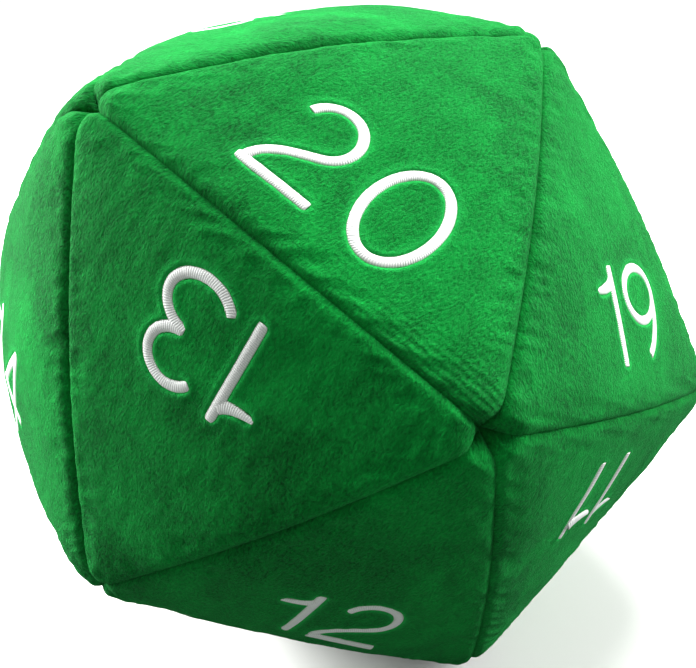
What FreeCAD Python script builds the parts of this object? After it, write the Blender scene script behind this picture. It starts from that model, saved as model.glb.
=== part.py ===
import FreeCAD, Part
import math
import os

# A stuffed plush icosahedral die: twenty triangular pile-fabric panels sewn edge to edge over a
# fibre filling, with a satin-stitch number on each panel. It stands on the panel numbered 2,
# which its weight presses flat. Millimetres, +Z up, origin under the middle at the resting plane.

Vec = FreeCAD.Vector

# Driving dimensions
SPAN = 254.0             # corner to opposite corner of the stuffed die
CROWN_RADIUS = 220.0     # radius of the ball that each stuffed panel follows
REST_HEIGHT = 112.0      # die centre above the surface it rests on
POLE_TURN = -13.0        # compass angle of the corner that panels 16 to 20 share, degrees
FABRIC = 2.2             # pile fabric, backing and pile together
SEAM_ROLL = 2.4          # radius of the fabric where it turns into a seam
ALLOWANCE = 7.0          # depth of the seam allowance inside the die
ALLOWANCE_THICK = 1.5    # one layer of allowance, its pile crushed
CORNER_CLIP = 9.0        # allowance cut away around each corner
PILE_OVER = 0.4          # pile standing above the embroidery
EMBROIDERY = 1.2         # satin stitch thickness
BACKING = 0.4            # non-woven stabiliser behind each number
BACKING_MARGIN = 5.0
DIGIT_HEIGHT = 31.0
DIGIT_WIDTH = 21.0
STROKE = 3.8
DIGIT_GAP = 5.0
NUMBER_DROP = 12.0       # middle of the number below the middle of its panel
MARK_DROP = 6.0          # the bar under 6 and 9, below the digit
THREAD = 0.5             # sewing thread diameter
THREAD_DEPTH = 1.0       # seam thread below the inside face of the fabric
OPENING = 70.0           # length of the hand-closed stuffing opening
LADDER_PITCH = 5.0
LADDER_REACH = 2.5       # each ladder stitch either side of the seam
LADDER_DEPTH = 3.2       # ladder stitches below the crown, under the rolled edge

# Upright blocks that the numbers are cut from, from inside the die to past its fabric
PRISM_START = 90.0
PRISM_HEIGHT = 80.0

# Angles of a regular icosahedron, seen from its centre
FACE_TO_CORNER = math.degrees(math.acos(math.sqrt((5 + 2 * math.sqrt(5)) / 15)))
HALF_EDGE = math.degrees(math.atan(1 / ((1 + math.sqrt(5)) / 2)))
FACE_TO_EDGE = math.degrees(math.acos(math.cos(math.radians(FACE_TO_CORNER))
                                      / math.cos(math.radians(HALF_EDGE))))

UP = Vec(0, 0, 1)
CENTRE = Vec(0, 0, REST_HEIGHT)


def turned(vector, axis, degrees):
    """A vector turned about an axis through the origin."""
    return FreeCAD.Rotation(axis, degrees).multVec(vector)


def unit(vector):
    """A copy of a vector, one unit long."""
    copy = Vec(vector)
    copy.normalize()
    return copy


def drop_of_balls():
    """How far each ball's centre lies behind the die centre, so that the corners reach SPAN."""
    corner = SPAN / 2
    angle = math.radians(FACE_TO_CORNER)
    return -corner * math.cos(angle) + math.sqrt(CROWN_RADIUS ** 2 - (corner * math.sin(angle)) ** 2)


DROP = drop_of_balls()


def corners():
    """Unit directions: the pole, its ring of five, the lower ring of five and the far pole."""
    pole = turned(UP, turned(Vec(0, 1, 0), UP, POLE_TURN), FACE_TO_CORNER)
    first = turned(pole, UP, -120)
    ring = [turned(first, pole, 72 * i) for i in range(5)]
    lower = [ring[(i + 3) % 5] * -1 for i in range(5)]
    return pole, ring, lower, pole * -1


def faces():
    """Each number's corners: the one its digit's top points at, then the two of its base edge."""
    pole, ring, lower, foot = corners()
    table = {}
    for i in range(5):
        j = (i + 1) % 5
        table[(20, 19, 18, 17, 16)[i]] = (pole, ring[i], ring[j])
        table[(13, 11, 9, 7, 15)[i]] = (lower[i], ring[i], ring[j])
        table[(12, 10, 8, 6, 14)[i]] = (ring[j], lower[i], lower[j])
        table[(3, 2, 1, 5, 4)[i]] = (foot, lower[i], lower[j])
    return table


def normal_of(face):
    """The outward direction of a face."""
    return unit(face[0] + face[1] + face[2])


def pyramid(face, shift=0.0):
    """The die's sector under one face, moved outward to leave a border all round."""
    reach = SPAN * 1.2
    apex = CENTRE + normal_of(face) * shift
    far = [apex + corner * reach for corner in face]
    sides = [(apex, far[0], far[1]), (apex, far[1], far[2]), (apex, far[2], far[0]), tuple(far)]
    walls = [Part.Face(Part.makePolygon(list(side) + [side[0]])) for side in sides]
    solid = Part.Solid(Part.Shell(walls))
    if solid.Volume < 0:
        solid.reverse()
    return solid


def posed(shape, right, ahead, over, base):
    """A copy of a shape with its own X, Y and Z laid along three directions from a base."""
    matrix = FreeCAD.Matrix(right.x, ahead.x, over.x, base.x,
                            right.y, ahead.y, over.y, base.y,
                            right.z, ahead.z, over.z, base.z,
                            0, 0, 0, 1)
    copy = shape.copy()
    copy.Placement = FreeCAD.Placement(matrix).multiply(shape.Placement)
    return copy


def crown(face, depth):
    """The ball that a panel follows, at a depth under the pile; flat where the die rests.

    The ball's own poles and its closing meridian are turned away from the panel."""
    out = normal_of(face)
    pole_axis = unit(face[0] - out * face[0].dot(out))
    ball = posed(Part.makeSphere(CROWN_RADIUS - depth), out * -1, out.cross(pole_axis), pole_axis,
                 CENTRE - out * DROP)
    if out.z > -0.99:
        return ball
    block = Part.makeBox(SPAN * 2, SPAN * 2, SPAN * 2, Vec(-SPAN, -SPAN, depth))
    return ball.common(block)


def place(shape, face):
    """Stand a shape, drawn with +Y up and facing +Z, inside the die where a face's number goes."""
    out = normal_of(face)
    middle = (face[0] + face[1] + face[2]) * (1 / 3)
    upward = unit(face[0] - middle)
    base = CENTRE + out * PRISM_START - upward * NUMBER_DROP
    return posed(shape, upward.cross(out), upward, out, base)


# Digits: each is a few strokes, given as centre lines in a box of digit width by digit height

def line(*points):
    """Straight edges through the given (x, y) points."""
    spots = [Vec(x, y, 0) for x, y in points]
    return [Part.LineSegment(a, b).toShape() for a, b in zip(spots, spots[1:])]


def arc(cx, cy, radius, start, end):
    """A circular edge about (cx, cy) between two angles in degrees."""
    def at(angle):
        turn = math.radians(angle)
        return Vec(cx + radius * math.cos(turn), cy + radius * math.sin(turn), 0)
    return [Part.Arc(at(start), at((start + end) / 2), at(end)).toShape()]


def stroke(edges):
    """A round-ended band of the stroke's width along a bent centre line."""
    outline = Part.Wire(edges).makeOffset2D(STROKE / 2, 0, False, False, False)
    return Part.Face(outline)


def bar(start, end):
    """A round-ended straight band of the stroke's width."""
    one, two = Vec(start[0], start[1], 0), Vec(end[0], end[1], 0)
    ahead = unit(two - one) * (STROKE / 2)
    side = UP.cross(ahead)
    caps = [Part.Arc(two - side, two + ahead, two + side), Part.Arc(one + side, one - ahead, one - side)]
    sides = [Part.LineSegment(two + side, one + side), Part.LineSegment(one - side, two - side)]
    return Part.Face(Part.Wire([piece.toShape() for piece in (caps[0], sides[0], caps[1], sides[1])]))


def outline_face(*loops):
    """A face from lists of edges: its outline first, then its holes."""
    wires = [Part.Wire(Part.__sortEdges__(loop)) for loop in loops]
    return Part.makeFace(wires, "Part::FaceMakerBullseye")


def crossing_angle(radius, other, apart):
    """Where two circles cross, as the angle at the first one's centre from the line of centres."""
    return math.degrees(math.acos((radius ** 2 + apart ** 2 - other ** 2) / (2 * radius * apart)))


W = (DIGIT_WIDTH - STROKE) / 2      # centre-line half width
H = (DIGIT_HEIGHT - STROKE) / 2     # centre-line half height


def digit_0():
    end = 0.8 * W
    side = (W ** 2 + (H - end) ** 2 - end ** 2) / (2 * (W - end))
    turn = math.degrees(math.atan2(H - end, side - W))

    def oval(grow):
        return (arc(0, H - end, end + grow, turn, 180 - turn)
                + arc(side - W, 0, side + grow, 180 - turn, 180 + turn)
                + arc(0, end - H, end + grow, 180 + turn, 360 - turn)
                + arc(W - side, 0, side + grow, -turn, turn))
    return [outline_face(oval(STROKE / 2), oval(-STROKE / 2))]


def digit_1():
    return [stroke(line((0, -H), (0, H), (-0.55 * W, 0.62 * H)))]


def digit_2():
    bowl = 0.92 * W
    swing = math.radians(-38)
    leave = (bowl * math.cos(swing), H - bowl + bowl * math.sin(swing))
    return [stroke(arc(0, H - bowl, bowl, 165, -38) + line(leave, (-W, -H), (W, -H)))]


def end_cap(cx, cy, radius, angle, heading):
    """The half circle that ends a band on a circle, at an angle and towards a heading."""
    turn = math.radians(angle)
    return arc(cx + radius * math.cos(turn), cy + radius * math.sin(turn), STROKE / 2, heading - 90, heading + 90)


def digit_3():
    top, low, half = 0.47 * H, 0.53 * H, STROKE / 2
    high_y, low_y, tail = H - top, low - H, 150
    waist_top = crossing_angle(top + half, low + half, H)
    waist_low = crossing_angle(low + half, top + half, H)
    return [outline_face(arc(0, high_y, top + half, waist_top - 90, tail)
                         + end_cap(0, high_y, top, tail, tail + 90)
                         + arc(0, high_y, top - half, -90, tail)
                         + arc(0, high_y - top, half, 90, 270)
                         + arc(0, low_y, low - half, 90, -tail)
                         + end_cap(0, low_y, low, -tail, -tail - 90)
                         + arc(0, low_y, low + half, 90 - waist_low, -tail))]


def digit_4():
    return [stroke(line((0.35 * W, H), (-W, -0.35 * H), (W, -0.35 * H))),
            bar((0.35 * W, H), (0.35 * W, -H))]


def digit_5():
    bowl = 0.58 * H
    turn = math.radians(140)
    start = (bowl * math.cos(turn), -H + bowl + bowl * math.sin(turn))
    return [stroke(line((0.8 * W, H), (-0.65 * W, H), start)
                   + arc(0, -H + bowl, bowl, 140, -145))]


def digit_6():
    bowl, sweep, half, top = 0.58 * H, 1.63 * H, STROKE / 2, 118
    middle = bowl - H
    apart = sweep - bowl
    inner = crossing_angle(bowl + half, sweep - half, apart)
    meet = math.radians(inner)
    tail = math.degrees(math.atan2((bowl + half) * math.sin(meet), (bowl + half) * math.cos(meet) - apart))
    return [outline_face(arc(0, middle, bowl + half, -180, inner)
                         + arc(apart, middle, sweep - half, tail, top)
                         + end_cap(apart, middle, sweep, top, top - 90)
                         + arc(apart, middle, sweep + half, top, 180),
                         arc(0, middle, bowl - half, 0, 180) + arc(0, middle, bowl - half, 180, 360))]


def digit_7():
    return [stroke(line((-W, H), (W, H), (-0.35 * W, -H)))]


def digit_8():
    top, low, half = 0.46 * H, 0.54 * H, STROKE / 2
    high_y, low_y = H - top, low - H
    waist_top = crossing_angle(top + half, low + half, H)
    waist_low = crossing_angle(low + half, top + half, H)
    holes = [arc(0, y, radius - half, 0, 180) + arc(0, y, radius - half, 180, 360)
             for y, radius in ((high_y, top), (low_y, low))]
    return [outline_face(arc(0, high_y, top + half, waist_top - 90, 270 - waist_top)
                         + arc(0, low_y, low + half, 90 + waist_low, 450 - waist_low), *holes)]


def digit_9():
    return [band.rotated(Vec(0, 0, 0), UP, 180) for band in digit_6()]


DIGITS = (digit_0, digit_1, digit_2, digit_3, digit_4,
          digit_5, digit_6, digit_7, digit_8, digit_9)


def mark_lift(number):
    """How far a number with a bar under it is raised to make room for the bar."""
    return MARK_DROP if number in (6, 9) else 0.0


def number_blocks(number):
    """The number as upright blocks, one for each separate stitched shape, and its width."""
    tall = Vec(0, 0, PRISM_HEIGHT)
    blocks = []
    edge = 0.0
    for letter in str(number):
        bands = [band.extrude(tall) for band in DIGITS[int(letter)]()]
        digit = bands[0].fuse(bands[1:]).removeSplitter() if len(bands) > 1 else bands[0]
        box = digit.BoundBox
        blocks.append(digit.translated(Vec(edge - box.XMin, 0, 0)))
        edge += box.XLength + DIGIT_GAP
    width = edge - DIGIT_GAP
    if number in (6, 9):
        drop = -DIGIT_HEIGHT / 2 - MARK_DROP
        blocks.append(bar((0.2 * width, drop), (0.8 * width, drop)).extrude(tall))
    centring = Vec(-width / 2, mark_lift(number), 0)
    return [block.translated(centring) for block in blocks], width


def solids_of(shapes):
    """One compound of every solid in a list of shapes."""
    return Part.makeCompound([solid for shape in shapes for solid in shape.Solids])


def backing_block(number, width):
    """The stabiliser patch as an upright block, a margin larger than its number."""
    wide = width + 2 * BACKING_MARGIN
    low = -DIGIT_HEIGHT / 2 - BACKING_MARGIN
    high = DIGIT_HEIGHT / 2 + BACKING_MARGIN + mark_lift(number)
    return Part.makeBox(wide, high - low, PRISM_HEIGHT, Vec(-wide / 2, low, 0))


def corner_clips(face):
    """Rods along the face's corner directions, where the allowance is cut away."""
    return [Part.makeCylinder(CORNER_CLIP, SPAN, CENTRE, corner) for corner in face]


def allowance(face):
    """The three strips of seam allowance that turn inward along the panel's edges."""
    inside = crown(face, FABRIC)
    deeper = crown(face, FABRIC + ALLOWANCE)
    border = ALLOWANCE_THICK / math.sin(math.radians(FACE_TO_EDGE))
    strips = inside.cut(deeper).common(pyramid(face)).cut(pyramid(face, border))
    return strips.cut(corner_clips(face))


def seam_circle(one, two, depth):
    """A seam's own directions, and the circle where two panels' balls meet at a depth."""
    along = unit(one + two)
    across = unit(one.cross(two))
    fall = DROP * math.cos(math.radians(FACE_TO_EDGE))
    aside = DROP * math.sin(math.radians(FACE_TO_EDGE))
    radius = math.sqrt((CROWN_RADIUS - depth) ** 2 - aside ** 2)
    return along, across, CENTRE - along * fall, radius


def seam_roll(one, two):
    """What is cut from a panel so that its pile rolls over into the seam: a ring of two arcs."""
    along, across, middle, radius = seam_circle(one, two, 0)
    tilt = math.asin(DROP * math.sin(math.radians(FACE_TO_EDGE)) / CROWN_RADIUS)
    low = -SEAM_ROLL * (1 / math.cos(tilt) + math.tan(tilt))
    reach = SEAM_ROLL * (1 + math.sin(tilt))
    over = SEAM_ROLL

    def spot(aside, out):
        return Vec(radius + out, 0, aside)
    shoulders = []
    for side in (-1, 1):
        bend = math.radians(45)
        knee = spot(side * SEAM_ROLL * (1 - math.cos(bend)), low + SEAM_ROLL * math.sin(bend))
        top = spot(side * reach, low + SEAM_ROLL * math.cos(tilt))
        shoulders.append((Part.Arc(spot(0, low), knee, top).toShape(), top))
    rim = [shoulders[0][1], spot(-reach, over), spot(reach, over), shoulders[1][1]]
    lid = [Part.LineSegment(a, b).toShape() for a, b in zip(rim, rim[1:])]
    outline = Part.Wire(Part.__sortEdges__([shoulders[0][0], shoulders[1][0]] + lid))
    ring = Part.Face(outline).revolve(Vec(0, 0, 0), UP, 360)
    return posed(ring, along, across.cross(along), across, middle)


def cloth(face):
    """The panel's fabric between its seams, with the outer edges rolled over."""
    shell = crown(face, 0).cut(crown(face, FABRIC)).common(pyramid(face))
    rolls = [seam_roll(face[k], face[(k + 1) % 3]) for k in range(3)]
    return shell.cut(rolls)


def seam_half_angle():
    """Half the turn of a seam's circle, in degrees, between the clipped ends of its allowance."""
    half = math.radians(HALF_EDGE)
    fall = DROP * math.cos(math.radians(FACE_TO_EDGE))
    corner = SPAN / 2
    whole = math.atan2(corner * math.sin(half), fall + corner * math.cos(half))
    return math.degrees(whole) - math.degrees(CORNER_CLIP / CROWN_RADIUS)


def thread_run(one, two, side, start, end):
    """Seam thread on one side of the allowance, between two angles along the seam."""
    along, across, middle, radius = seam_circle(one, two, FABRIC + THREAD_DEPTH)
    first = FreeCAD.Rotation(across, start).multVec(along)
    ring = Part.makeTorus(radius, THREAD / 2, Vec(0, 0, 0), UP, -180, 180, end - start)
    base = middle + across * (side * ALLOWANCE_THICK)
    return posed(ring, first, across.cross(first), across, base)


def seam_threads(one, two, opening):
    """Both threads of one lockstitched seam, with a gap where it was left open."""
    limit = seam_half_angle()
    spans = [(-limit, limit)]
    if opening:
        gap = math.degrees(OPENING / 2 / CROWN_RADIUS)
        spans = [(-limit, -gap), (gap, limit)]
    return [thread_run(one, two, side, start, end) for side in (-1, 1) for start, end in spans]


def ladder(one, two):
    """Hand stitches that bridge the stuffing opening just under the rolled edges."""
    along, across, middle, radius = seam_circle(one, two, LADDER_DEPTH)
    count = int(OPENING / LADDER_PITCH) - 1
    bars = []
    for i in range(count):
        turn = (i - (count - 1) / 2) * LADDER_PITCH / radius
        spot = middle + FreeCAD.Rotation(across, math.degrees(turn)).multVec(along) * radius
        bars.append(Part.makeCylinder(THREAD / 2, 2 * LADDER_REACH, spot - across * LADDER_REACH, across))
    return bars


def covered(shape, face, top, bottom):
    """The part of a prism that lies between two depths under the pile."""
    return crown(face, top).cut(crown(face, bottom)).common(shape)


def save(name, shape):
    """Write one node."""
    print(name, "solids", len(shape.Solids), "valid", shape.isValid(), "mm3", round(shape.Volume))
    shape.exportStep("parts/" + name + ".step")


os.makedirs("parts", exist_ok=True)
table = faces()
pole, ring, lower, foot = corners()
stitched_by_hand = (lower[2], lower[3])
ladder_bars = ladder(*stitched_by_hand)

# Seams, in the groups that each thread node holds
seam_groups = {
    "seam_thread_top_cap": [(pole, ring[i]) for i in range(5)],
    "seam_thread_top_ring": [(ring[i], ring[(i + 1) % 5]) for i in range(5)],
    "seam_thread_band": [pair for i in range(5) for pair in ((ring[i], lower[i]),
                                                             (lower[i], ring[(i + 1) % 5]))],
    "seam_thread_bottom_ring": [(lower[i], lower[(i + 1) % 5]) for i in range(5)],
    "seam_thread_bottom_cap": [(foot, lower[i]) for i in range(5)],
}
threads = {name: [run for pair in pairs for run in seam_threads(*pair, pair == stitched_by_hand)]
           for name, pairs in seam_groups.items()}
all_threads = [run for runs in threads.values() for run in runs]

# The panels and what is stitched to them
filling = crown(table[20], FABRIC)
backings = []
linings = []
for number, face in sorted(table.items()):
    blocks, width = number_blocks(number)
    prisms = [place(block, face) for block in blocks]
    patch = covered(place(backing_block(number, width), face), face, FABRIC, FABRIC + BACKING)
    backings.append(patch)
    embroidery = [covered(shape, face, PILE_OVER, PILE_OVER + EMBROIDERY) for shape in prisms]
    beds = [covered(shape, face, -FABRIC, PILE_OVER + EMBROIDERY) for shape in prisms]
    turned_in = allowance(face)
    linings.append(turned_in)
    near = [run for run in all_threads + ladder_bars if run.BoundBox.intersect(turned_in.BoundBox)]
    panel = cloth(face).fuse(turned_in).cut(beds + near)
    save("panel_%02d" % number, panel)
    save("numeral_%02d" % number, solids_of(embroidery))
    filling = filling.common(crown(face, FABRIC))
save("embroidery_backings", solids_of(backings))

for name, runs in threads.items():
    save(name, solids_of(runs))
save("closing_stitch", solids_of(ladder_bars))

# The filling takes up everything inside the panels
save("fibre_filling", filling.cut(linings + backings + all_threads))
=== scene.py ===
import math

import bmesh
import bpy
import numpy as np
from mathutils import Matrix, Quaternion, Vector, noise
from mathutils.bvhtree import BVHTree
from mathutils.geometry import barycentric_transform, interpolate_bezier


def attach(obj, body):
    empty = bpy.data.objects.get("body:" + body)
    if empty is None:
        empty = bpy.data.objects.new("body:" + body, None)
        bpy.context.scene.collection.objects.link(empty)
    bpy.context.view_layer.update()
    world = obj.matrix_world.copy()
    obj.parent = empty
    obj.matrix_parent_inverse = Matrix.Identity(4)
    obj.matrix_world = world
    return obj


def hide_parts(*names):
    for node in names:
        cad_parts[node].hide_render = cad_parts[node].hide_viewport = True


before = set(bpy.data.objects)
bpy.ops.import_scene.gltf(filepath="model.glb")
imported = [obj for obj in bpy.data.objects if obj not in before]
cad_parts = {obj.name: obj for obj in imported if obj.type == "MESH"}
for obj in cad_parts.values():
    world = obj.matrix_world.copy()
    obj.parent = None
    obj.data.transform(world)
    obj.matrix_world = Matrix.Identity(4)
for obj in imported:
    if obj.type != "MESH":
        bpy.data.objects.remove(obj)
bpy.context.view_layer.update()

# ---------------------------------------------------------------------------------------------
# The cutting pattern: twenty equal triangles of pile fabric that meet five to a corner.
# Each panel is known by the number stitched on it. The die stands on panel 2, with the corner
# that panels 16 to 20 share tipped towards +X.

SEAM_LENGTH = 0.1417            # corner to corner along one cut seam
POLE_TURN = -13                 # degrees
REST_HEIGHT = 0.112             # die centre above the surface it stands on
FACE_TO_CORNER = 37.3774        # degrees, seen from the die's centre
CENTRE = Vector((0, 0, REST_HEIGHT))
UP = Vector((0, 0, 1))


def turned(vector, axis, degrees):
    """A vector turned about an axis through the origin."""
    return Quaternion(axis, math.radians(degrees)) @ vector


pole = turned(UP, turned(Vector((0, 1, 0)), UP, POLE_TURN), FACE_TO_CORNER)
ring = [turned(turned(pole, UP, -120), pole, 72 * i) for i in range(5)]
lower = [-ring[(i + 3) % 5] for i in range(5)]
foot = -pole
corners = [pole] + ring + lower + [foot]
POLE, RING, LOWER, FOOT = 0, [1, 2, 3, 4, 5], [6, 7, 8, 9, 10], 11

# Each number's corners: the one its digit's top points at, then the two of its base edge
panels = {}
for i in range(5):
    j = (i + 1) % 5
    panels[(20, 19, 18, 17, 16)[i]] = (POLE, RING[i], RING[j])
    panels[(13, 11, 9, 7, 15)[i]] = (LOWER[i], RING[i], RING[j])
    panels[(12, 10, 8, 6, 14)[i]] = (RING[j], LOWER[i], LOWER[j])
    panels[(3, 2, 1, 5, 4)[i]] = (FOOT, LOWER[i], LOWER[j])

# A hand-stuffed die is never regular: how far each corner is pushed or pulled, in millimetres
PULLED = {POLE: (-2.5, -0.4, -4.8), RING[0]: (-2.3, -2.0, 4.2), RING[1]: (-4.4, 6.0, -0.4),
          RING[2]: (1.5, -4.0, -3.2), RING[3]: (1.0, 2.0, -1.5), RING[4]: (-2.0, 1.0, 3.0),
          LOWER[0]: (3.2, 0.8, -0.4), LOWER[1]: (2.9, 0.6, 1.6), LOWER[2]: (-1.5, 1.0, 0.5),
          LOWER[3]: (1.0, -2.5, 1.0), LOWER[4]: (-6.2, -2.8, 0.5), FOOT: (-1.0, 1.5, 0.8)}

# Some seams are drawn tight and some bow out, and some panels are fuller than others, in millimetres
BOWED = {(LOWER[0], LOWER[1]): -3.0, (LOWER[1], RING[2]): -4.0, (RING[0], LOWER[4]): 3.5,
         (LOWER[4], LOWER[0]): 4.0, (POLE, RING[4]): 2.5, (POLE, RING[2]): -1.5}
FULLER = {14: 3.0, 4: -3.0, 10: -2.0, 3: -2.0, 16: 2.0}

REACH = SEAM_LENGTH * math.sin(math.radians(72))        # corner of the flat-sided solid
flat_corner = np.array([np.array(corner) * REACH for corner in corners])
pulled_corner = flat_corner + np.array([PULLED[k] for k in range(12)]) / 1000
TALL = SEAM_LENGTH * math.sqrt(3) / 2                   # height of one triangle


def pattern_axes(number):
    """A panel's own right, up and out directions, and the middle of its flat triangle."""
    tip, one, two = (flat_corner[k] for k in panels[number])
    middle = (tip + one + two) / 3
    out = middle / np.linalg.norm(middle)
    up = (tip - middle) / np.linalg.norm(tip - middle)
    return np.cross(up, out), up, out, middle


# ---------------------------------------------------------------------------------------------
# The stuffed skin: the shape that all twenty panels take together once they are sewn, turned
# and filled. The seams hold their line, and the cloth between them is blown out by the filling.
# The panels are cut from this shape, and last of all it becomes the filling.

SEAM_BOW = 0.0047               # a seam's middle bows out past the straight line
CORNER_WIDTH = 0.0058           # a corner is drawn in where five seams meet
DRAWN_IN = {RING[1]: 0.0098, RING[0]: 0.0072, POLE: 0.0040, LOWER[0]: 0.0050}
SINK = np.array([DRAWN_IN.get(k, 0.0058) for k in range(12)])
CROWN = 0.0035                  # fullness of a panel before the filling blows it out
CROWN_EDGE = 0.012
COARSE = 48                     # cloth squares along one seam
FILLING_PUSH = 5                # pressure of the filling
MOST_MOVE = 0.009
SETTLE_FRAMES = 14              # frames that the cloth takes to fill out
LUMPS = ((0.042, 0.0016), (0.017, 0.0007))      # size of a lump of filling, and its push
LUMP_EDGE = 0.006               # lumps fade out this near a seam
SEAM_GROOVE = 0.0020            # how deep the pile rolls over into a seam
SHOULDER = 0.025                # how far the shoulder beside it reaches


def on_cloth(flat, corner_share, seam_away, corner_away, groove):
    """Where points of the flat-sided solid go when it is sewn and filled."""
    spread = corner_share @ (pulled_corner - flat_corner) + flat
    outward = spread / np.linalg.norm(spread, axis=1, keepdims=True)
    along = np.clip(corner_away / SEAM_LENGTH, 0, 0.5)
    drawn = corner_share @ SINK * np.exp(-(corner_away / CORNER_WIDTH) ** 2)
    rise = (SEAM_BOW * np.sin(np.pi * along) - drawn + CROWN * (1 - np.exp(-seam_away / CROWN_EDGE))
            + groove * np.exp(-seam_away / SHOULDER))
    for (one, two), more in BOWED.items():
        rise += more / 1000 * 4 * corner_share[:, one] * corner_share[:, two]
    for number, more in FULLER.items():
        rise += more / 1000 * 27 * corner_share[:, list(panels[number])].prod(1)
    return spread + outward * rise[:, None]


def shares(flat, tips):
    """Each flat point's share of its panel's three corners, and its distance to a seam and corner."""
    share = np.zeros((len(flat), 12))
    rows = np.arange(len(flat))
    points = flat_corner[tips]
    near = np.linalg.norm(flat[:, None] - points, axis=2)
    # a corner's share is one less the distance from it, measured square to the far edge
    out = points.mean(1)
    for k in range(3):
        far = (points[:, (k + 1) % 3] + points[:, (k + 2) % 3]) / 2
        height = points[:, k] - far
        share[rows, tips[:, k]] = np.einsum("ij,ij->i", flat - far, height) / TALL ** 2
    least = np.clip(np.take_along_axis(share, tips, 1).min(1), 0, None)
    return share, least * TALL, near.min(1)


skin = bmesh.new()
bmesh.ops.create_icosphere(skin, subdivisions=1, radius=REACH)
skin.verts.ensure_lookup_table()
first = skin.verts[0]
second = first.link_edges[0].other_vert(first)


def square_to(one, two):
    """Three directions: along the first vector, and square to it and to both."""
    x = one.normalized()
    z = one.cross(two).normalized()
    return Matrix((x, z.cross(x), z)).transposed()


turn = square_to(pole, ring[0]) @ square_to(first.co, second.co).transposed()
bmesh.ops.transform(skin, matrix=turn.to_4x4(), verts=skin.verts)
stitched_number = skin.faces.layers.int.new("number")
as_cut = skin.verts.layers.float_vector.new("as_cut")
outs = {number: Vector(pattern_axes(number)[2]) for number in panels}
for face in skin.faces:
    middle = face.calc_center_median()
    face[stitched_number] = max(outs, key=lambda number: outs[number].dot(middle))
bmesh.ops.subdivide_edges(skin, edges=skin.edges[:], cuts=COARSE - 1, use_grid_fill=True)
for vert in skin.verts:
    vert[as_cut] = vert.co
flat_skin = np.array([vert.co for vert in skin.verts])
skin_tips = np.array([panels[vert.link_faces[0][stitched_number]] for vert in skin.verts])
skin_share, skin_away, skin_near = shares(flat_skin, skin_tips)
sewn = on_cloth(flat_skin, skin_share, skin_away, skin_near, SEAM_GROOVE)
outward = sewn / np.linalg.norm(sewn, axis=1, keepdims=True)
# the filling is packed by hand, so it pushes unevenly
for size, push in LUMPS:
    lumps = np.array([noise.noise(Vector(point) / size + Vector((7, 2, 5))) for point in flat_skin])
    sewn += outward * (push * lumps * (1 - np.exp(-skin_away / LUMP_EDGE)))[:, None]

shape = bpy.data.meshes.new("stuffed_skin")
skin.to_mesh(shape)
shape.vertices.foreach_set("co", sewn.astype(np.float32).ravel())
stuffed = bpy.data.objects.new("stuffed_skin", shape)
bpy.context.scene.collection.objects.link(stuffed)
held = stuffed.vertex_groups.new(name="seams")
held.add([int(k) for k in np.flatnonzero(skin_away < 1e-5)], 1.0, "REPLACE")
cloth = stuffed.modifiers.new("Cloth", "CLOTH")
cloth.settings.quality = 6
cloth.settings.mass = 0.0002
cloth.settings.tension_stiffness = 15
cloth.settings.compression_stiffness = 15
cloth.settings.shear_stiffness = 5
cloth.settings.bending_stiffness = 0.1
cloth.settings.tension_damping = 10
cloth.settings.compression_damping = 10
cloth.settings.shear_damping = 10
cloth.settings.air_damping = 5
cloth.settings.use_pressure = True
cloth.settings.uniform_pressure_force = FILLING_PUSH
cloth.settings.effector_weights.gravity = 0
cloth.settings.vertex_group_mass = "seams"
cloth.settings.pin_stiffness = 50
cloth.collision_settings.use_collision = False
cloth.point_cache.frame_start = 1
cloth.point_cache.frame_end = 20
for step in range(1, SETTLE_FRAMES + 1):
    bpy.context.scene.frame_set(step)
blown = stuffed.evaluated_get(bpy.context.evaluated_depsgraph_get()).data
moved = np.empty(len(sewn) * 3, dtype=np.float32)
blown.vertices.foreach_get("co", moved)
move = moved.reshape(-1, 3) - sewn
far = np.linalg.norm(move, axis=1, keepdims=True)
sewn = sewn + move * np.minimum(1, MOST_MOVE / np.maximum(far, 1e-9))
stuffed.modifiers.remove(cloth)
bpy.context.scene.frame_set(1)
bpy.data.objects.remove(stuffed)
for vert, spot in zip(skin.verts, sewn):
    vert.co = Vector(spot) + CENTRE


# ---------------------------------------------------------------------------------------------
# The numbers' stroke lines, which the panels and the embroidery share. Each number is stitched
# through its flat panel before sewing, in satin stitch about 3 mm wide and 33 mm high.
# Centre lines are in millimetres, up towards the panel's tip.

STROKE = 3.2                    # width of a stitched stroke, mm
HALF_WIDE = 10.2                # centre line of a digit, from its middle, mm
HALF_TALL = 15.0
DIGIT_GAP = 4.6
NUMBER_DROP = 12.0              # below the panel's middle
MARK_DROP = 6.0                 # the bar under 6 and 9
TO_CLOTH = 0.96 / 1000          # the flat pattern is stretched a little when it is filled
STEP = 0.27                     # spacing of points along a stroke, mm


def straight(x0, y0, x1, y1):
    """Points along a straight stroke."""
    count = max(2, int(math.dist((x0, y0), (x1, y1)) / STEP))
    return np.linspace((x0, y0), (x1, y1), count)


def bowed(x, y, wide, tall, start, end):
    """Points along part of an oval, between two angles in degrees."""
    count = int(math.radians(abs(end - start)) * (wide + tall) / 2 / STEP)
    angle = np.radians(np.linspace(start, end, count))
    return np.stack([x + wide * np.cos(angle), y + tall * np.sin(angle)], 1)


def swept(*handles):
    """Points along a Bezier curve with four handles."""
    count = int(math.dist(handles[0], handles[3]) / STEP)
    return np.array(interpolate_bezier(*[Vector((x, y, 0)) for x, y in handles], count))[:, :2]


def joined(*runs):
    """One stroke from runs that follow on from each other."""
    return np.concatenate([runs[0]] + [run[1:] for run in runs[1:]])


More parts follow.
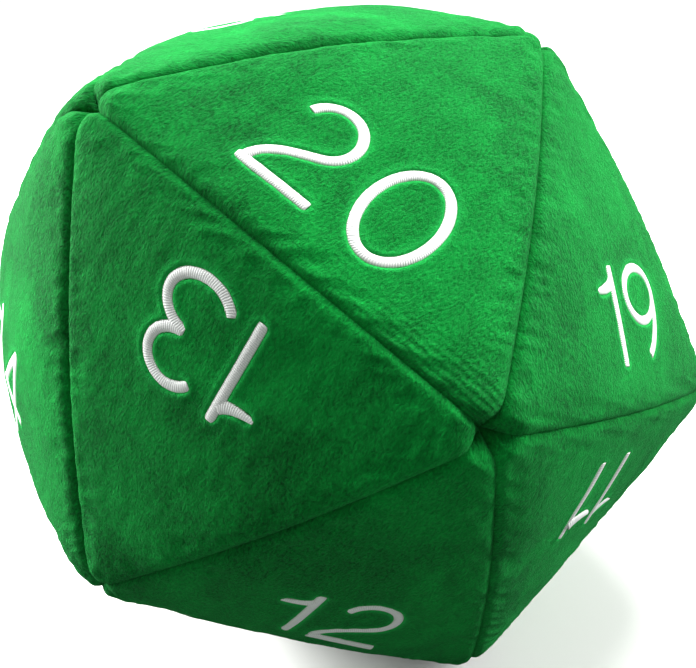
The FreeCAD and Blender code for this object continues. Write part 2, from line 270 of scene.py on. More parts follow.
W, H = HALF_WIDE, HALF_TALL
HOOK = 0.86 * W
LEAVE = math.radians(-60)
NECK = (HOOK * math.cos(LEAVE), H - HOOK + HOOK * math.sin(LEAVE))
SIX = [joined(bowed(0.62 * W, -0.38 * H, 1.6 * W, 1.38 * H, 116, 178),
              bowed(0, -0.44 * H, 0.98 * W, 0.56 * H, 180, 540))]
DIGITS = {
    "0": [bowed(0, 0, W, H, 90, 450)],
    "1": [straight(0, -H, 0, H), bowed(-10.4, H - 3.2, 10.6, 4.4, 342, 271)],
    "2": [joined(bowed(0, H - HOOK, HOOK, HOOK, 163, -60),
                 swept(NECK, (NECK[0] - 5.6, NECK[1] - 3.2), (1.5 - W, 7.6 - H), (-W - 0.3, 0.6 - H))),
          straight(-W - 1.9, -H, W + 1.2, -H)],
    "3": [bowed(-0.06 * W, 0.52 * H, 0.8 * W, 0.48 * H, 152, -84),
          bowed(-0.06 * W, -0.49 * H, 0.95 * W, 0.51 * H, 88, -152)],
    "4": [straight(0.36 * W, H, -W, -0.36 * H), straight(-W - 1.2, -0.36 * H, W + 0.6, -0.36 * H),
          straight(0.36 * W, H + 1, 0.36 * W, -H)],
    "5": [straight(0.8 * W, H, -0.68 * W, H), straight(-0.6 * W, H + 1.2, -0.7 * W, 0.1 * H),
          bowed(-0.1 * W, -0.4 * H, 0.98 * W, 0.6 * H, 128, -142)],
    "6": SIX,
    "7": [straight(-W, H, W + 1.5, H), straight(0.94 * W, H - 1, -0.4 * W, -H)],
    "8": [bowed(0, 0.52 * H, 0.8 * W, 0.48 * H, 270, 630), bowed(0, -0.48 * H, 0.98 * W, 0.52 * H, 90, 450)],
    "9": [-stroke for stroke in SIX],
}


def strokes_of(number):
    """A number's strokes: points on its panel's pattern in metres, each with its share of a full width."""
    placed = []
    edge = 0.0
    for letter in str(number):
        strokes = DIGITS[letter]
        low = min(stroke[:, 0].min() for stroke in strokes)
        high = max(stroke[:, 0].max() for stroke in strokes)
        for k, stroke in enumerate(strokes):
            # the flag of a 1 flares where it meets the stem
            flag = letter == "1" and k == 1
            widths = np.linspace(1.55, 0.5, len(stroke)) if flag else np.ones(len(stroke))
            placed.append(np.column_stack([stroke + (edge - low, 0), widths]))
        edge += high - low + STROKE + DIGIT_GAP
    width = edge - STROKE - DIGIT_GAP
    lift = 0.0
    if number in (6, 9):
        lift = MARK_DROP
        mark = straight(0.22 * width, -H - MARK_DROP, 0.78 * width, -H - MARK_DROP)
        placed.append(np.column_stack([mark, np.ones(len(mark))]))
    shift = (-width / 2, lift - NUMBER_DROP)
    return [np.column_stack([(run[:, :2] + shift) * TO_CLOTH, run[:, 2]]) for run in placed]


# ---------------------------------------------------------------------------------------------
# The twenty panels: short-pile polyester plush, about 1.5 mm of pile on a knitted back. Each is
# cut with a seam allowance, sewn to its neighbours face to face and turned, so that the pile
# rolls over into the seam and the allowance points into the die.

FABRIC = 0.0014                 # backing and packed pile
ALLOWANCE = 0.0065
CLIP = 0.013                    # the allowance tapers away near a corner
LEAST_ALLOWANCE = 0.25          # of its full depth, at the corner itself
ROLL_WIDTH = 0.0014             # shoulder of the pile beside a seam
PUCKER = 0.0011                 # gathers across a seam
PUCKER_PITCH = 0.0085
PUCKER_AWAY = 0.004             # deepest this far from the seam
FOLD = 0.0011                   # folds that fan out of a corner
FOLD_PITCH = 0.0065
FOLD_REACH = 0.013
PLEATS_LONG = 0.026             # fine pleats along a gathered seam, and how far they spread from it
PLEATS_WIDE = 0.0065
COMBED = 0.00012                # unevenness of the brushed pile
COMB_PITCH = 0.0028
BED_INSET = 0.45                # the pile leans over a stroke's edge, mm
LIP = 0.0002                    # pile pushed up beside a stroke
LIP_AWAY = 0.0024               # from the stroke's centre line
LIP_WIDTH = 0.0007
PAINTED_HIGHLIGHT_FROM = 0.0016             # painted highlight on the pile beside a stroke, from its edge outwards
PAINTED_HIGHLIGHT_WIDTH = 0.0010
FINE_BESIDE = 1.6               # finer faces this far past a stroke's edge, mm
SMOOTHINGS = 8
BED = 0.0006                    # pile pressed down by the embroidery
BED_EDGE = 0.0006
FACES_EACH = 3                  # finer squares to one of the cloth's
FLOOR_GAP = 0.0001              # pressed pile above the surface the die stands on


def tones(code):
    """An sRGB hex colour as linear red, green, blue and alpha."""
    parts = [int(code[k:k + 2], 16) / 255 for k in (1, 3, 5)]
    return [part / 12.92 if part <= 0.04045 else ((part + 0.055) / 1.055) ** 2.4 for part in parts] + [1]


def add(material, kind, settings=None, inputs=None, ramp=None):
    """A node with its settings, its inputs as values or as links, and its ramp's two colours."""
    node = material.node_tree.nodes.new("ShaderNode" + kind)
    for name, value in (settings or {}).items():
        setattr(node, name, value)
    for name, value in (inputs or {}).items():
        if isinstance(value, bpy.types.NodeSocket):
            material.node_tree.links.new(value, node.inputs[name])
        else:
            node.inputs[name].default_value = value
    if ramp:
        for element, (position, code) in zip(node.color_ramp.elements, ramp.items()):
            element.position = position
            element.color = tones(code)
    return node


# Short-pile polyester plush, dyed green: matt and soft, lighter where the pile is seen from the
# side, with faint streaks where it has been brushed one way and another.
plush = bpy.data.materials.new("green_polyester_pile_plush")
plush.use_nodes = True
where = add(plush, "TexCoord").outputs["Object"]
pattern = add(plush, "UVMap", {"uv_map": "pattern"}).outputs["UV"]
lay = add(plush, "Mapping", inputs={"Vector": pattern, "Scale": (1.0, 0.5, 1.0), "Rotation": (0, 0, 0.35)})
patches = add(plush, "TexNoise", inputs={"Vector": where, "Scale": 24.0, "Detail": 3.0, "Roughness": 0.55,
                                         "Distortion": 0.8})
brushed = add(plush, "TexNoise", inputs={"Vector": lay.outputs[0], "Scale": 190.0, "Detail": 5.0,
                                         "Roughness": 0.62, "Distortion": 0.6})
tufts = add(plush, "TexNoise", inputs={"Vector": lay.outputs[0], "Scale": 1450.0, "Detail": 4.0,
                                       "Roughness": 0.7, "Distortion": 0.5})
fibres = add(plush, "Math", {"operation": "MULTIPLY"}, {0: tufts.outputs[0], 1: 0.72})
mixed = add(plush, "Math", {"operation": "MULTIPLY_ADD"},
            {0: brushed.outputs[0], 1: 0.28, 2: fibres.outputs[0]})
tone = add(plush, "ValToRGB", inputs={"Fac": mixed.outputs[0]}, ramp={0.36: "#003311", 0.66: "#12AD42"})
drift = add(plush, "ValToRGB", inputs={"Fac": patches.outputs[0]}, ramp={0.38: "#004A17", 0.66: "#069A39"})
pile_colour = add(plush, "Mix", {"data_type": "RGBA"}, {0: 0.42, 6: tone.outputs[0], 7: drift.outputs[0]})
# painted highlight: the pile beside the stitches is painted a lighter green where the raised pile would
# catch the light
pleat_and_highlight_vector = add(plush, "Attribute", {"attribute_name": "pleats_and_highlight"}).outputs["Vector"]
pleat_and_highlight_parts = add(plush, "SeparateXYZ", inputs={0: pleat_and_highlight_vector})
stands = add(plush, "Math", {"operation": "MULTIPLY"}, {0: pleat_and_highlight_parts.outputs[2], 1: 0.55})
# the painted highlight's colour, a lighter green mixed into the pile
pile_with_painted_highlight = add(plush, "Mix", {"data_type": "RGBA"}, {0: stands.outputs[0], 6: pile_colour.outputs[2],
                                                   7: tones("#29CB5B")})
# fine pleats gathered beside a seam near the corners, 2.2 mm from fold to fold
phase = add(plush, "Math", {"operation": "MULTIPLY"}, {0: pleat_and_highlight_parts.outputs[0], 1: math.tau / 0.0022})
wander = add(plush, "Math", {"operation": "MULTIPLY_ADD"},
             {0: brushed.outputs[0], 1: 5.0, 2: phase.outputs[0]})
folded = add(plush, "Math", {"operation": "SINE"}, {0: wander.outputs[0]})
pleats = add(plush, "Math", {"operation": "MULTIPLY"}, {0: folded.outputs[0], 1: pleat_and_highlight_parts.outputs[1]})
gathered = add(plush, "Bump", inputs={"Height": pleats.outputs[0], "Strength": 1.0, "Distance": 0.0010})
nap = add(plush, "Bump", inputs={"Height": brushed.outputs[0], "Strength": 0.5, "Distance": 0.0009,
                                 "Normal": gathered.outputs[0]})
fuzz = add(plush, "Bump", inputs={"Height": tufts.outputs[0], "Strength": 1.0, "Distance": 0.0010,
                                  "Normal": nap.outputs[0]})
cloth_shader = plush.node_tree.nodes["Principled BSDF"]
cloth_shader.inputs["Roughness"].default_value = 0.92
cloth_shader.inputs["Specular IOR Level"].default_value = 0.05
cloth_shader.inputs["Sheen Weight"].default_value = 0.25
cloth_shader.inputs["Sheen Roughness"].default_value = 0.45
cloth_shader.inputs["Sheen Tint"].default_value = tones("#6CE896")
plush.node_tree.links.new(pile_with_painted_highlight.outputs[2], cloth_shader.inputs["Base Color"])
plush.node_tree.links.new(fuzz.outputs[0], cloth_shader.inputs["Normal"])


def ripple(points, size, seed):
    """Smooth noise from -1 to 1 at pattern points."""
    return np.array([noise.noise(Vector((x / size, y / size, seed))) for x, y in points])


def stroke_away(points, strokes):
    """Each pattern point's distance from the nearest stroke line."""
    # an open stroke's bed is rounded, so it starts half a stroke in
    ends = int(STROKE / 2 / STEP)
    line = np.concatenate([stroke if np.allclose(stroke[0], stroke[-1]) else stroke[ends:-ends]
                           for stroke in strokes])[::3, :2]
    away = np.full(len(points), 1.0)
    near = np.flatnonzero(np.abs(points).max(1) < 0.045)
    for part in np.array_split(near, 8):
        gap = points[part][:, None] - line[None]
        away[part] = np.sqrt((gap ** 2).sum(2).min(1))
    return away


def rested(spots):
    """Points kept on or above the surface that the die stands on."""
    spots[:, 2] = np.maximum(spots[:, 2], FLOOR_GAP)
    return spots


surfaces = {}
for number, tips in sorted(panels.items()):
    right, up, out, middle = pattern_axes(number)
    strokes = strokes_of(number)
    panel = skin.copy()
    mark = panel.faces.layers.int["number"]
    others = [face for face in panel.faces if face[mark] != number]
    bmesh.ops.delete(panel, geom=others, context="FACES")
    panel.verts.ensure_lookup_table()
    cut = panel.verts.layers.float_vector["as_cut"]
    bmesh.ops.subdivide_edges(panel, edges=panel.edges[:], cuts=FACES_EACH - 1, use_grid_fill=True)
    # finer still beside the stitches
    flat = np.array([vert[cut] for vert in panel.verts])
    strokes_near = stroke_away(np.stack([(flat - middle) @ right, (flat - middle) @ up], 1), strokes)
    close = strokes_near < (STROKE / 2 + FINE_BESIDE) * TO_CLOTH
    panel.verts.ensure_lookup_table()
    edges = [edge for edge in panel.edges if close[edge.verts[0].index] and close[edge.verts[1].index]]
    bmesh.ops.subdivide_edges(panel, edges=edges, cuts=1, use_grid_fill=True)
    bmesh.ops.triangulate(panel, faces=[face for face in panel.faces if len(face.verts) > 3])
    panel.verts.index_update()
    inner = [vert for vert in panel.verts if not vert.is_boundary]
    for _ in range(SMOOTHINGS):
        bmesh.ops.smooth_vert(panel, verts=inner, factor=0.5,
                              use_axis_x=True, use_axis_y=True, use_axis_z=True)

    flat = np.array([vert[cut] for vert in panel.verts])
    pattern_spots = np.stack([(flat - middle) @ right, (flat - middle) @ up], 1)
    share, seam_away, corner_away = shares(flat, np.tile(tips, (len(flat), 1)))
    spots = np.array([vert.co for vert in panel.verts])
    rim = np.array([vert.is_boundary for vert in panel.verts])
    spots[rim] = on_cloth(flat, share, seam_away * 0, corner_away, SEAM_GROOVE)[rim] + np.array(CENTRE)
    panel.normal_update()
    normal = np.array([vert.normal for vert in panel.verts])
    from_centre = spots - np.array(CENTRE)
    from_centre /= np.linalg.norm(from_centre, axis=1, keepdims=True)

    roll = SEAM_GROOVE * np.exp(-(seam_away / ROLL_WIDTH) ** 1.3)
    gathers = np.abs(ripple(flat[:, :2] + flat[:, 2:], PUCKER_PITCH, 3.1))
    gathers *= np.exp(-(seam_away - PUCKER_AWAY) ** 2 / PUCKER_AWAY ** 2)
    folds = ripple(flat[:, 1:] - flat[:, :1], FOLD_PITCH, 8.3)
    folds *= np.exp(-corner_away / FOLD_REACH) * (seam_away > 0)
    # only panel 20 is visibly gathered, along its base edge towards one corner
    base_away = share[:, tips[0]] * TALL
    along_base = np.linalg.norm(flat - flat_corner[tips[2]], axis=1)
    pleated = np.exp(-along_base / PLEATS_LONG - base_away / PLEATS_WIDE)
    pleated *= 1.0 if number == 20 else 0.15
    brushing = ripple(pattern_spots * (1, 0.45), COMB_PITCH, number)
    strokes_near = stroke_away(pattern_spots, strokes)
    edge = np.clip((strokes_near - (STROKE / 2 - BED_INSET) * TO_CLOTH) / BED_EDGE + 0.35 * brushing, 0, 1)
    bed = BED * (1 - edge) - LIP * np.exp(-((strokes_near - LIP_AWAY) / LIP_WIDTH) ** 2)
    combed = COMBED * brushing * np.clip(seam_away / 0.002, 0, 1)
    sink = PUCKER * gathers - FOLD * folds
    rolled = spots - from_centre * roll[:, None]
    base = rolled - normal * sink[:, None]
    surface = rolled - normal * (sink + bed - combed)[:, None]
    surface[rim] = (spots - from_centre * SEAM_GROOVE)[rim]
    surface = rested(surface)
    base = rested(base)
    surfaces[number] = (BVHTree.FromPolygons([(x, y, 0) for x, y in pattern_spots],
                                             [[vert.index for vert in face.verts] for face in panel.faces]),
                        [Vector(spot) for spot in base],
                        [Vector(lean) for lean in normal],
                        [Vector((x, y, 0)) for x, y in pattern_spots],
                        [[vert.index for vert in face.verts] for face in panel.faces])
    # painted highlight beside each stroke, carried to the pile's shader with the pleats' place and depth
    painted_highlight = np.exp(-(np.clip(strokes_near - PAINTED_HIGHLIGHT_FROM, 0, None) / PAINTED_HIGHLIGHT_WIDTH) ** 1.2)
    pleats_and_highlight = panel.verts.layers.float_vector.new("pleats_and_highlight")
    for k, vert in enumerate(panel.verts):
        vert.co = surface[k]
        vert[pleats_and_highlight] = (base_away[k], pleated[k], painted_highlight[k])

    # the allowance, turned in along the seam and tapering away towards the corners
    border = [edge for edge in panel.edges if edge.is_boundary]
    turned_in = bmesh.ops.extrude_edge_only(panel, edges=border)["geom"]
    middle_out = Vector(out)
    for vert in [item for item in turned_in if isinstance(item, bmesh.types.BMVert)]:
        home = vert.co - CENTRE
        nearest = min((home - corners[k].normalized() * home.length).length for k in tips)
        depth = ALLOWANCE * min(1.0, LEAST_ALLOWANCE + nearest / CLIP)
        inward = middle_out * home.length * 0.8 - home
        vert.co = vert.co - home.normalized() * depth + inward.normalized() * 0.0006
    uv = panel.loops.layers.uv.new("pattern")
    for face in panel.faces:
        face.smooth = True
        for loop in face.loops:
            from_middle = loop.vert[cut] - Vector(middle)
            loop[uv].uv = (from_middle.dot(Vector(right)), from_middle.dot(Vector(up)))
    mesh = bpy.data.meshes.new("panel_%02d" % number)
    panel.to_mesh(mesh)
    panel.free()
    piece = bpy.data.objects.new("plush_panel_%02d" % number, mesh)
    bpy.context.scene.collection.objects.link(piece)
    mesh.materials.append(plush)
    wall = piece.modifiers.new("Thickness", "SOLIDIFY")
    wall.thickness = FABRIC
    wall.offset = -1
    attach(piece, "root")
    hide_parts("panel_%02d" % number)


# ---------------------------------------------------------------------------------------------
# The twenty numbers: white satin stitch, rayon thread laid side by side across each stroke and
# pulled down into the pile, so a stroke is a low rounded band of fine threads. Each stroke is
# its own run of stitches, with underlay that lifts its middle.

THREAD_PITCH = 0.6              # mm; real threads lie 0.4 mm apart, drawn coarse enough to show
RIB = 0.00002
BAND_HIGH = 0.0007
BAND_SUNK = 0.0004              # edge of a stroke below the pile
BAND_THICK = 0.0005
ACROSS = 10                     # faces across a stroke
RAGGED = 0.05                   # unevenness of a stroke's edge, of its half width
RAGGED_PITCH = 0.0007
END_DRAWN = 0.07                # how much narrower a stroke's ends are
END_REACH = 0.0005

# White rayon embroidery thread: smooth, with a soft gloss along each thread, and painted shade
# that greys the hollows between threads.
satin = bpy.data.materials.new("white_rayon_satin_stitch")
satin.use_nodes = True
run = add(satin, "UVMap", {"uv_map": "thread"}).outputs["UV"]
slant = add(satin, "Mapping", inputs={"Vector": run, "Rotation": (0, 0, 0.12)})
laid = add(satin, "TexWave", {"wave_type": "BANDS", "bands_direction": "X"},
           {"Vector": slant.outputs[0], "Scale": 2 * math.pi / (THREAD_PITCH / 1000) / 20, "Distortion": 1.4,
            "Detail": 2.0, "Detail Scale": 1.5})
dyed = add(satin, "TexNoise", inputs={"Vector": run, "Scale": 500.0, "Detail": 3.0})
# painted shade: the colour is greyer in the hollows between threads and whiter on their crowns
painted_thread_shade = add(satin, "ValToRGB", inputs={"Fac": laid.outputs[0]}, ramp={0.0: "#D8DEDA", 0.55: "#F5F6F3"})
uneven = add(satin, "Mix", {"data_type": "RGBA", "blend_type": "MULTIPLY"},
             {0: 0.08, 6: painted_thread_shade.outputs[0], 7: dyed.outputs[0]})
threads_up = add(satin, "Bump", inputs={"Height": laid.outputs[0], "Strength": 0.5, "Distance": 0.0002})
satin_shader = satin.node_tree.nodes["Principled BSDF"]
satin_shader.inputs["Roughness"].default_value = 0.42
satin_shader.inputs["Specular IOR Level"].default_value = 0.5
satin_shader.inputs["Sheen Weight"].default_value = 0.2
satin.node_tree.links.new(uneven.outputs[2], satin_shader.inputs["Base Color"])
satin.node_tree.links.new(threads_up.outputs[0], satin_shader.inputs["Normal"])


def on_panel(number, x, y, height):
    """The point at a height over a panel, from a spot on its flat pattern."""
    tree, spots, normals, flats, faces = surfaces[number]
    spot, _, index, _ = tree.find_nearest(Vector((x, y, 0)))
    tri = faces[index]
    where_flat = [flats[k] for k in tri]
    point = barycentric_transform(spot, *where_flat, *[spots[k] for k in tri])
    lean = barycentric_transform(spot, *where_flat, *[normals[k] for k in tri])
    point += lean.normalized() * height
    point.z = max(point.z, FLOOR_GAP)
    return point


def band(work, number, stroke, seed):
    """One stroke's satin band, made from a grid bent along the stroke."""
    widths = stroke[:, 2]
    stroke = stroke[:, :2]
    gaps = np.linalg.norm(np.diff(stroke, axis=0), axis=1)
    length = np.concatenate([[0], np.cumsum(gaps)])
    closed = np.linalg.norm(stroke[0] - stroke[-1]) < 1e-5
    ahead = np.gradient(stroke, axis=0)
    if closed:
        ahead[0] = ahead[-1] = ahead[0] + ahead[-1]
    ahead /= np.linalg.norm(ahead, axis=1, keepdims=True)
    side = np.stack([-ahead[:, 1], ahead[:, 0]], 1)
    grid = bmesh.ops.create_grid(work, x_segments=len(stroke) - 1, y_segments=ACROSS, size=1)["verts"]
    thread = work.verts.layers.float_vector["thread"]
    for vert in grid:
        k = int(round((vert.co.x + 1) / 2 * (len(stroke) - 1)))
        v = vert.co.y
        ragged = 1 + RAGGED * noise.noise(Vector((length[k] / RAGGED_PITCH, v * 0.3, seed)))
        if closed:
            place = stroke[k] / RAGGED_PITCH
            ragged = 1 + RAGGED * noise.noise(Vector((place[0], place[1], seed)))
        else:
            # the last few threads draw a stroke's end in a little
            last = min(length[k], length[-1] - length[k])
            ragged *= 1 - END_DRAWN * math.exp(-last / END_REACH)
        off = v * ragged * widths[k] * STROKE / 2 * TO_CLOTH
        x, y = stroke[k] + side[k] * off
        ribs = RIB * math.cos(math.tau * (length[k] * 1000 / THREAD_PITCH + 0.3 * v))
        round_up = math.sqrt(max(0, 1 - 0.96 * v * v))
        vert.co = on_panel(number, x, y, BAND_HIGH * round_up - BAND_SUNK + ribs * round_up)
        vert[thread] = (length[k], v * STROKE / 2000, 0)
    if closed:
        bmesh.ops.remove_doubles(work, verts=grid, dist=0.00001)


for number in sorted(panels):
    work = bmesh.new()
    work.verts.layers.float_vector.new("thread")
    for k, stroke in enumerate(strokes_of(number)):
        band(work, number, stroke, 10 * number + k)
    bmesh.ops.reverse_faces(work, faces=[face for face in work.faces
                                         if face.normal.dot(face.calc_center_median() - CENTRE) < 0])
    thread = work.verts.layers.float_vector["thread"]
    uv = work.loops.layers.uv.new("thread")
    for face in work.faces:
        face.smooth = True
        for loop in face.loops:
            loop[uv].uv = loop.vert[thread][:2]
    mesh = bpy.data.meshes.new("number_%02d" % number)
    work.to_mesh(mesh)
    work.free()
    piece = bpy.data.objects.new("stitched_number_%02d" % number, mesh)
    bpy.context.scene.collection.objects.link(piece)
    mesh.materials.append(satin)
    wall = piece.modifiers.new("Thickness", "SOLIDIFY")
    wall.thickness = BAND_THICK
    wall.offset = -1
    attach(piece, "root")
    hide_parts("numeral_%02d" % number)


# ---------------------------------------------------------------------------------------------
# The stabiliser: a patch of white non-woven behind each number, cut roughly round it, that kept
# the plush flat in the embroidery hoop. The stitches hold it to the back of the panel.

PATCH_MARGIN = 0.005
PATCH_DEPTH = 0.0029            # below the pile's surface, behind the cloth
PATCH_THICK = 0.0003
CUT_WANDER = 0.0008             # a patch is cut by eye, not along a line

# Non-woven polyester: pressed short fibres, dull, with a cloudy uneven thickness.
felted = bpy.data.materials.new("white_non_woven_polyester")
felted.use_nodes = True
where = add(felted, "TexCoord").outputs["Object"]
cloudy = add(felted, "TexNoise", inputs={"Vector": where, "Scale": 420.0, "Detail": 6.0, "Distortion": 2.0})
clouds = add(felted, "ValToRGB", inputs={"Fac": cloudy.outputs[0]}, ramp={0.0: "#BFC0BA", 1.0: "#F0F0EC"})
matted = add(felted, "Bump", inputs={"Height": cloudy.outputs[0], "Strength": 0.6, "Distance": 0.0003})
felted_shader = felted.node_tree.nodes["Principled BSDF"]
felted_shader.inputs["Roughness"].default_value = 0.9
felted.node_tree.links.new(clouds.outputs[0], felted_shader.inputs["Base Color"])
felted.node_tree.links.new(matted.outputs[0], felted_shader.inputs["Normal"])

patches = bmesh.new()
patch_area = 0.0
for number in sorted(panels):
    reach = np.concatenate(strokes_of(number))[:, :2]
    low = reach.min(0) - PATCH_MARGIN
    high = reach.max(0) + PATCH_MARGIN
    patch_area += (high - low).prod()
    grid = bmesh.ops.create_grid(patches, x_segments=18, y_segments=14, size=1)["verts"]
    for vert in grid:
        u, v = (vert.co.x + 1) / 2, (vert.co.y + 1) / 2
        cut_edge = CUT_WANDER * noise.noise(Vector((u * 9, v * 9, number)))
        x = low[0] + (high[0] - low[0]) * u + cut_edge
        y = low[1] + (high[1] - low[1]) * v - cut_edge
        vert.co = on_panel(number, x, y, -PATCH_DEPTH)
bmesh.ops.reverse_faces(patches, faces=[face for face in patches.faces
                                        if face.normal.dot(face.calc_center_median() - CENTRE) < 0])
mesh = bpy.data.meshes.new("stabiliser_patches")
patches.to_mesh(mesh)
patches.free()
piece = bpy.data.objects.new("stabiliser_patches", mesh)
bpy.context.scene.collection.objects.link(piece)
mesh.materials.append(felted)
wall = piece.modifiers.new("Thickness", "SOLIDIFY")
wall.thickness = PATCH_THICK
wall.offset = -1
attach(piece, "root")
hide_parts("embroidery_backings")


# ---------------------------------------------------------------------------------------------
# The machine seams: green spun polyester thread, a lockstitch every 3 mm. Its two threads lie
# on the two sides of the allowance, just inside the fold of each seam.

STITCH = 0.003
THREAD_RADIUS = 0.00025
SEAM_DEPTH = 0.0022             # below the line where two panels meet
SEAM_ASIDE = 0.0024             # from the seam's middle to the thread, past both layers
SEAM_END = 0.009                # the first and last stitch, from a corner
STITCH_SHOWN = 0.86             # of a stitch, between its needle holes

# Spun polyester thread, dyed to match the plush: dull, with a fine twist.
spun = bpy.data.materials.new("green_spun_polyester_thread")
spun.use_nodes = True
where = add(spun, "TexCoord").outputs["Object"]
twist = add(spun, "TexWave", {"bands_direction": "DIAGONAL"},
            {"Vector": where, "Scale": 900.0, "Distortion": 2.0})
dye = add(spun, "ValToRGB", inputs={"Fac": twist.outputs[0]}, ramp={0.0: "#00491C", 1.0: "#0F7A38"})
plied = add(spun, "Bump", inputs={"Height": twist.outputs[0], "Strength": 0.5, "Distance": 0.0001})
spun_shader = spun.node_tree.nodes["Principled BSDF"]
spun_shader.inputs["Roughness"].default_value = 0.7
spun.node_tree.links.new(dye.outputs[0], spun_shader.inputs["Base Color"])
spun.node_tree.links.new(plied.outputs[0], spun_shader.inputs["Normal"])


def seam_line(one, two, distances):
    """Points along the line where two panels meet, and the directions along, out and across."""
    part = (np.array(distances) / SEAM_LENGTH)[:, None]
    flat = flat_corner[one] * (1 - part) + flat_corner[two] * part
    share = np.zeros((len(flat), 12))
    share[:, one] = 1 - part[:, 0]
    share[:, two] = part[:, 0]
    corner_away = np.minimum(part[:, 0], 1 - part[:, 0]) * SEAM_LENGTH
    spots = on_cloth(flat, share, corner_away * 0, corner_away, 0)
    out = spots / np.linalg.norm(spots, axis=1, keepdims=True)
    along = np.gradient(spots, axis=0)
    along /= np.linalg.norm(along, axis=1, keepdims=True)
    across = np.cross(along, out)
    across /= np.linalg.norm(across, axis=1, keepdims=True)
    return spots + np.array(CENTRE), along, out, across


def laid_thread(work, spot, along, out, length):
    """One visible length of thread, a little rod lying along a direction."""
    x, z = Vector(out).normalized(), Vector(along).normalized()
    facing = Matrix((x, z.cross(x), z)).transposed().to_4x4()
    bmesh.ops.create_cone(work, cap_ends=True, segments=6, radius1=THREAD_RADIUS, radius2=THREAD_RADIUS,
                          depth=length, matrix=Matrix.Translation(Vector(spot)) @ facing)


def finished_thread(work, name, node):
    """A thread mesh as a piece that stands for one node."""
    bmesh.ops.recalc_face_normals(work, faces=work.faces[:])
    mesh = bpy.data.meshes.new(name)
    work.to_mesh(mesh)
    work.free()
    piece = bpy.data.objects.new(name, mesh)
    bpy.context.scene.collection.objects.link(piece)
    mesh.materials.append(spun)
    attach(piece, "root")
    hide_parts(node)


OPENING = 0.070                 # left open for filling, then closed by hand
HAND_SEAM = (LOWER[2], LOWER[3])
seam_groups = {
    "seam_thread_top_cap": [(POLE, RING[i]) for i in range(5)],
    "seam_thread_top_ring": [(RING[i], RING[(i + 1) % 5]) for i in range(5)],
    "seam_thread_band": ([(RING[i], LOWER[i]) for i in range(5)]
                         + [(LOWER[i], RING[(i + 1) % 5]) for i in range(5)]),
    "seam_thread_bottom_ring": [(LOWER[i], LOWER[(i + 1) % 5]) for i in range(5)],
    "seam_thread_bottom_cap": [(FOOT, LOWER[i]) for i in range(5)],
}
for node, pairs in seam_groups.items():
    work = bmesh.new()
    for one, two in pairs:
        holes = np.arange(SEAM_END, SEAM_LENGTH - SEAM_END, STITCH)
        for hole, spot, along, out, across in zip(holes, *seam_line(one, two, holes)):
            if (one, two) == HAND_SEAM and abs(hole - SEAM_LENGTH / 2) < OPENING / 2:
                continue
            for side in (-1, 1):
                beside = spot - out * SEAM_DEPTH + across * side * SEAM_ASIDE
                laid_thread(work, beside, along, out, STITCH * STITCH_SHOWN)
    finished_thread(work, node.replace("seam_thread", "seam_stitches"), node)


# ---------------------------------------------------------------------------------------------
# The closing ladder stitch: once the die is filled, the gap left in the seam between panels 1
# and 8 is drawn shut by hand with the same thread, in rungs that cross just under the fold.

RUNG_PITCH = 0.005
RUNG = 0.0042
RUNG_DEPTH = 0.0012
RUNGS = 13

work = bmesh.new()
rungs = SEAM_LENGTH / 2 + (np.arange(RUNGS) - RUNGS // 2) * RUNG_PITCH
for spot, along, out, across in zip(*seam_line(*HAND_SEAM, rungs)):
    laid_thread(work, spot - out * RUNG_DEPTH, across, out, RUNG)
finished_thread(work, "closing_stitch_by_hand", "closing_stitch")


# ---------------------------------------------------------------------------------------------
# The filling: loose hollow polyester fibre, pushed in by handfuls until the die is firm. It
# takes the shape of the inside, with a furrow where each seam allowance presses into it.

UNDER_CLOTH = 0.0042            # clear of the cloth, the numbers' beds and their patches
FURROW = 0.0085
FURROW_WIDTH = 0.0045
HANDFUL = 0.014                 # size of a handful of fibre
HANDFUL_HIGH = 0.0015
LOWEST_FIBRE = 0.0045           # above the surface the die stands on

# Loose polyester fibre: white, very matt, in soft curled clumps.
fluff = bpy.data.materials.new("white_loose_polyester_fibre")
fluff.use_nodes = True
where = add(fluff, "TexCoord").outputs["Object"]
curls = add(fluff, "TexNoise", inputs={"Vector": where, "Scale": 180.0, "Detail": 8.0, "Roughness": 0.7,
                                       "Distortion": 3.0})
clumps = add(fluff, "ValToRGB", inputs={"Fac": curls.outputs[0]}, ramp={0.0: "#C8C8C4", 1.0: "#F6F6F3"})
loose = add(fluff, "Bump", inputs={"Height": curls.outputs[0], "Strength": 0.8, "Distance": 0.001})
fluff_shader = fluff.node_tree.nodes["Principled BSDF"]
fluff_shader.inputs["Roughness"].default_value = 0.95
fluff_shader.inputs["Sheen Weight"].default_value = 0.4
fluff.node_tree.links.new(clumps.outputs[0], fluff_shader.inputs["Base Color"])
fluff.node_tree.links.new(loose.outputs[0], fluff_shader.inputs["Normal"])

skin.normal_update()
for k, vert in enumerate(skin.verts):
    away = float(skin_away[k])
    lump = abs(noise.noise(vert.co / HANDFUL))
    depth = UNDER_CLOTH + FURROW * math.exp(-(away / FURROW_WIDTH) ** 2) + HANDFUL_HIGH * lump
    vert.co = vert.co - (vert.co - CENTRE).normalized() * depth
    vert.co.z = max(vert.co.z, LOWEST_FIBRE)
for face in skin.faces:
    face.smooth = True
mesh = bpy.data.meshes.new("fibre_filling")
skin.to_mesh(mesh)
skin.free()
piece = bpy.data.objects.new("loose_fibre_filling", mesh)
bpy.context.scene.collection.objects.link(piece)
mesh.materials.append(fluff)
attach(piece, "root")
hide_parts("fibre_filling")


# ---------------------------------------------------------------------------------------------
# The camera stands a little above the die and looks down on panels 20 and 13, slightly tilted.

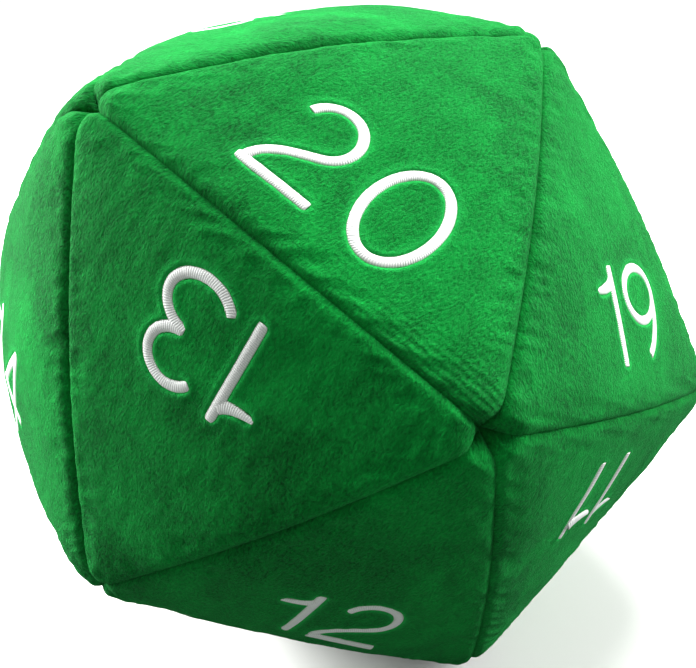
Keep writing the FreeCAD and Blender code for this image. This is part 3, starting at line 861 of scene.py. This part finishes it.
EYE = Vector((0.0060, -0.2656, 0.1309)) + CENTRE
VIEW_RIGHT = Vector((0.98836, -0.05032, -0.14359)).normalized()
VIEW_UP = Vector((0.15099, 0.44086, 0.88478)).normalized()
view_back = VIEW_RIGHT.cross(VIEW_UP).normalized()
camera = bpy.data.objects.new("camera", bpy.data.cameras.new("camera"))
bpy.context.scene.collection.objects.link(camera)
camera.data.lens = 37.97
camera.data.sensor_width = 36
camera.data.clip_start = 0.01
facing = Matrix((VIEW_RIGHT, view_back.cross(VIEW_RIGHT), view_back)).transposed().to_4x4()
camera.matrix_world = Matrix.Translation(EYE) @ facing
bpy.context.scene.camera = camera

# ---------------------------------------------------------------------------------------------
# A plain pale floor, and soft studio light from above, behind and both sides. The floor and the
# sky are pale to look at but throw little light back, as a deep studio does.

FLOOR_SIZE = 60

paper = bmesh.new()
bmesh.ops.create_grid(paper, x_segments=1, y_segments=1, size=FLOOR_SIZE)
floor_mesh = bpy.data.meshes.new("floor")
paper.to_mesh(floor_mesh)
paper.free()
floor = bpy.data.objects.new("floor", floor_mesh)
bpy.context.scene.collection.objects.link(floor)
backdrop = bpy.data.materials.new("pale_paper")
backdrop.use_nodes = True
seen = add(backdrop, "LightPath").outputs["Is Camera Ray"]
pale = add(backdrop, "ValToRGB", inputs={"Fac": seen}, ramp={0.0: "#5A5F5C", 1.0: "#F0F0EE"})
backdrop_shader = backdrop.node_tree.nodes["Principled BSDF"]
backdrop_shader.inputs["Roughness"].default_value = 0.9
backdrop_shader.inputs["Specular IOR Level"].default_value = 0.1
backdrop.node_tree.links.new(pale.outputs[0], backdrop_shader.inputs["Base Color"])
floor_mesh.materials.append(backdrop)


def aimed(name, kind, spot, power):
    """A light that points at the die's centre."""
    lamp = bpy.data.objects.new(name, bpy.data.lights.new(name, kind))
    lamp.data.energy = power
    lamp.location = spot
    lamp.rotation_mode = "QUATERNION"
    lamp.rotation_quaternion = (CENTRE - lamp.location).to_track_quat("-Z", "Y")
    bpy.context.scene.collection.objects.link(lamp)
    return lamp.data


aimed("overhead", "SUN", (0.05, 0.42, 1.2), 7.2).angle = math.radians(40)
aimed("left", "AREA", (-1.3, 0.58, 0.80), 80).size = 0.8
aimed("right", "AREA", (1.3, 0.25, 0.55), 39).size = 0.8

sky = bpy.data.worlds.new("studio")
bpy.context.scene.world = sky
sky.use_nodes = True
sky_shader = sky.node_tree.nodes["Background"]
sky_shader.inputs["Color"].default_value = tones("#FFFFFF")
looked_at = add(sky, "LightPath").outputs["Is Camera Ray"]
level = add(sky, "MapRange", inputs={"Value": looked_at, "To Min": 0.31, "To Max": 1.1})
sky.node_tree.links.new(level.outputs[0], sky_shader.inputs["Strength"])
bpy.context.scene.view_settings.view_transform = "Standard"
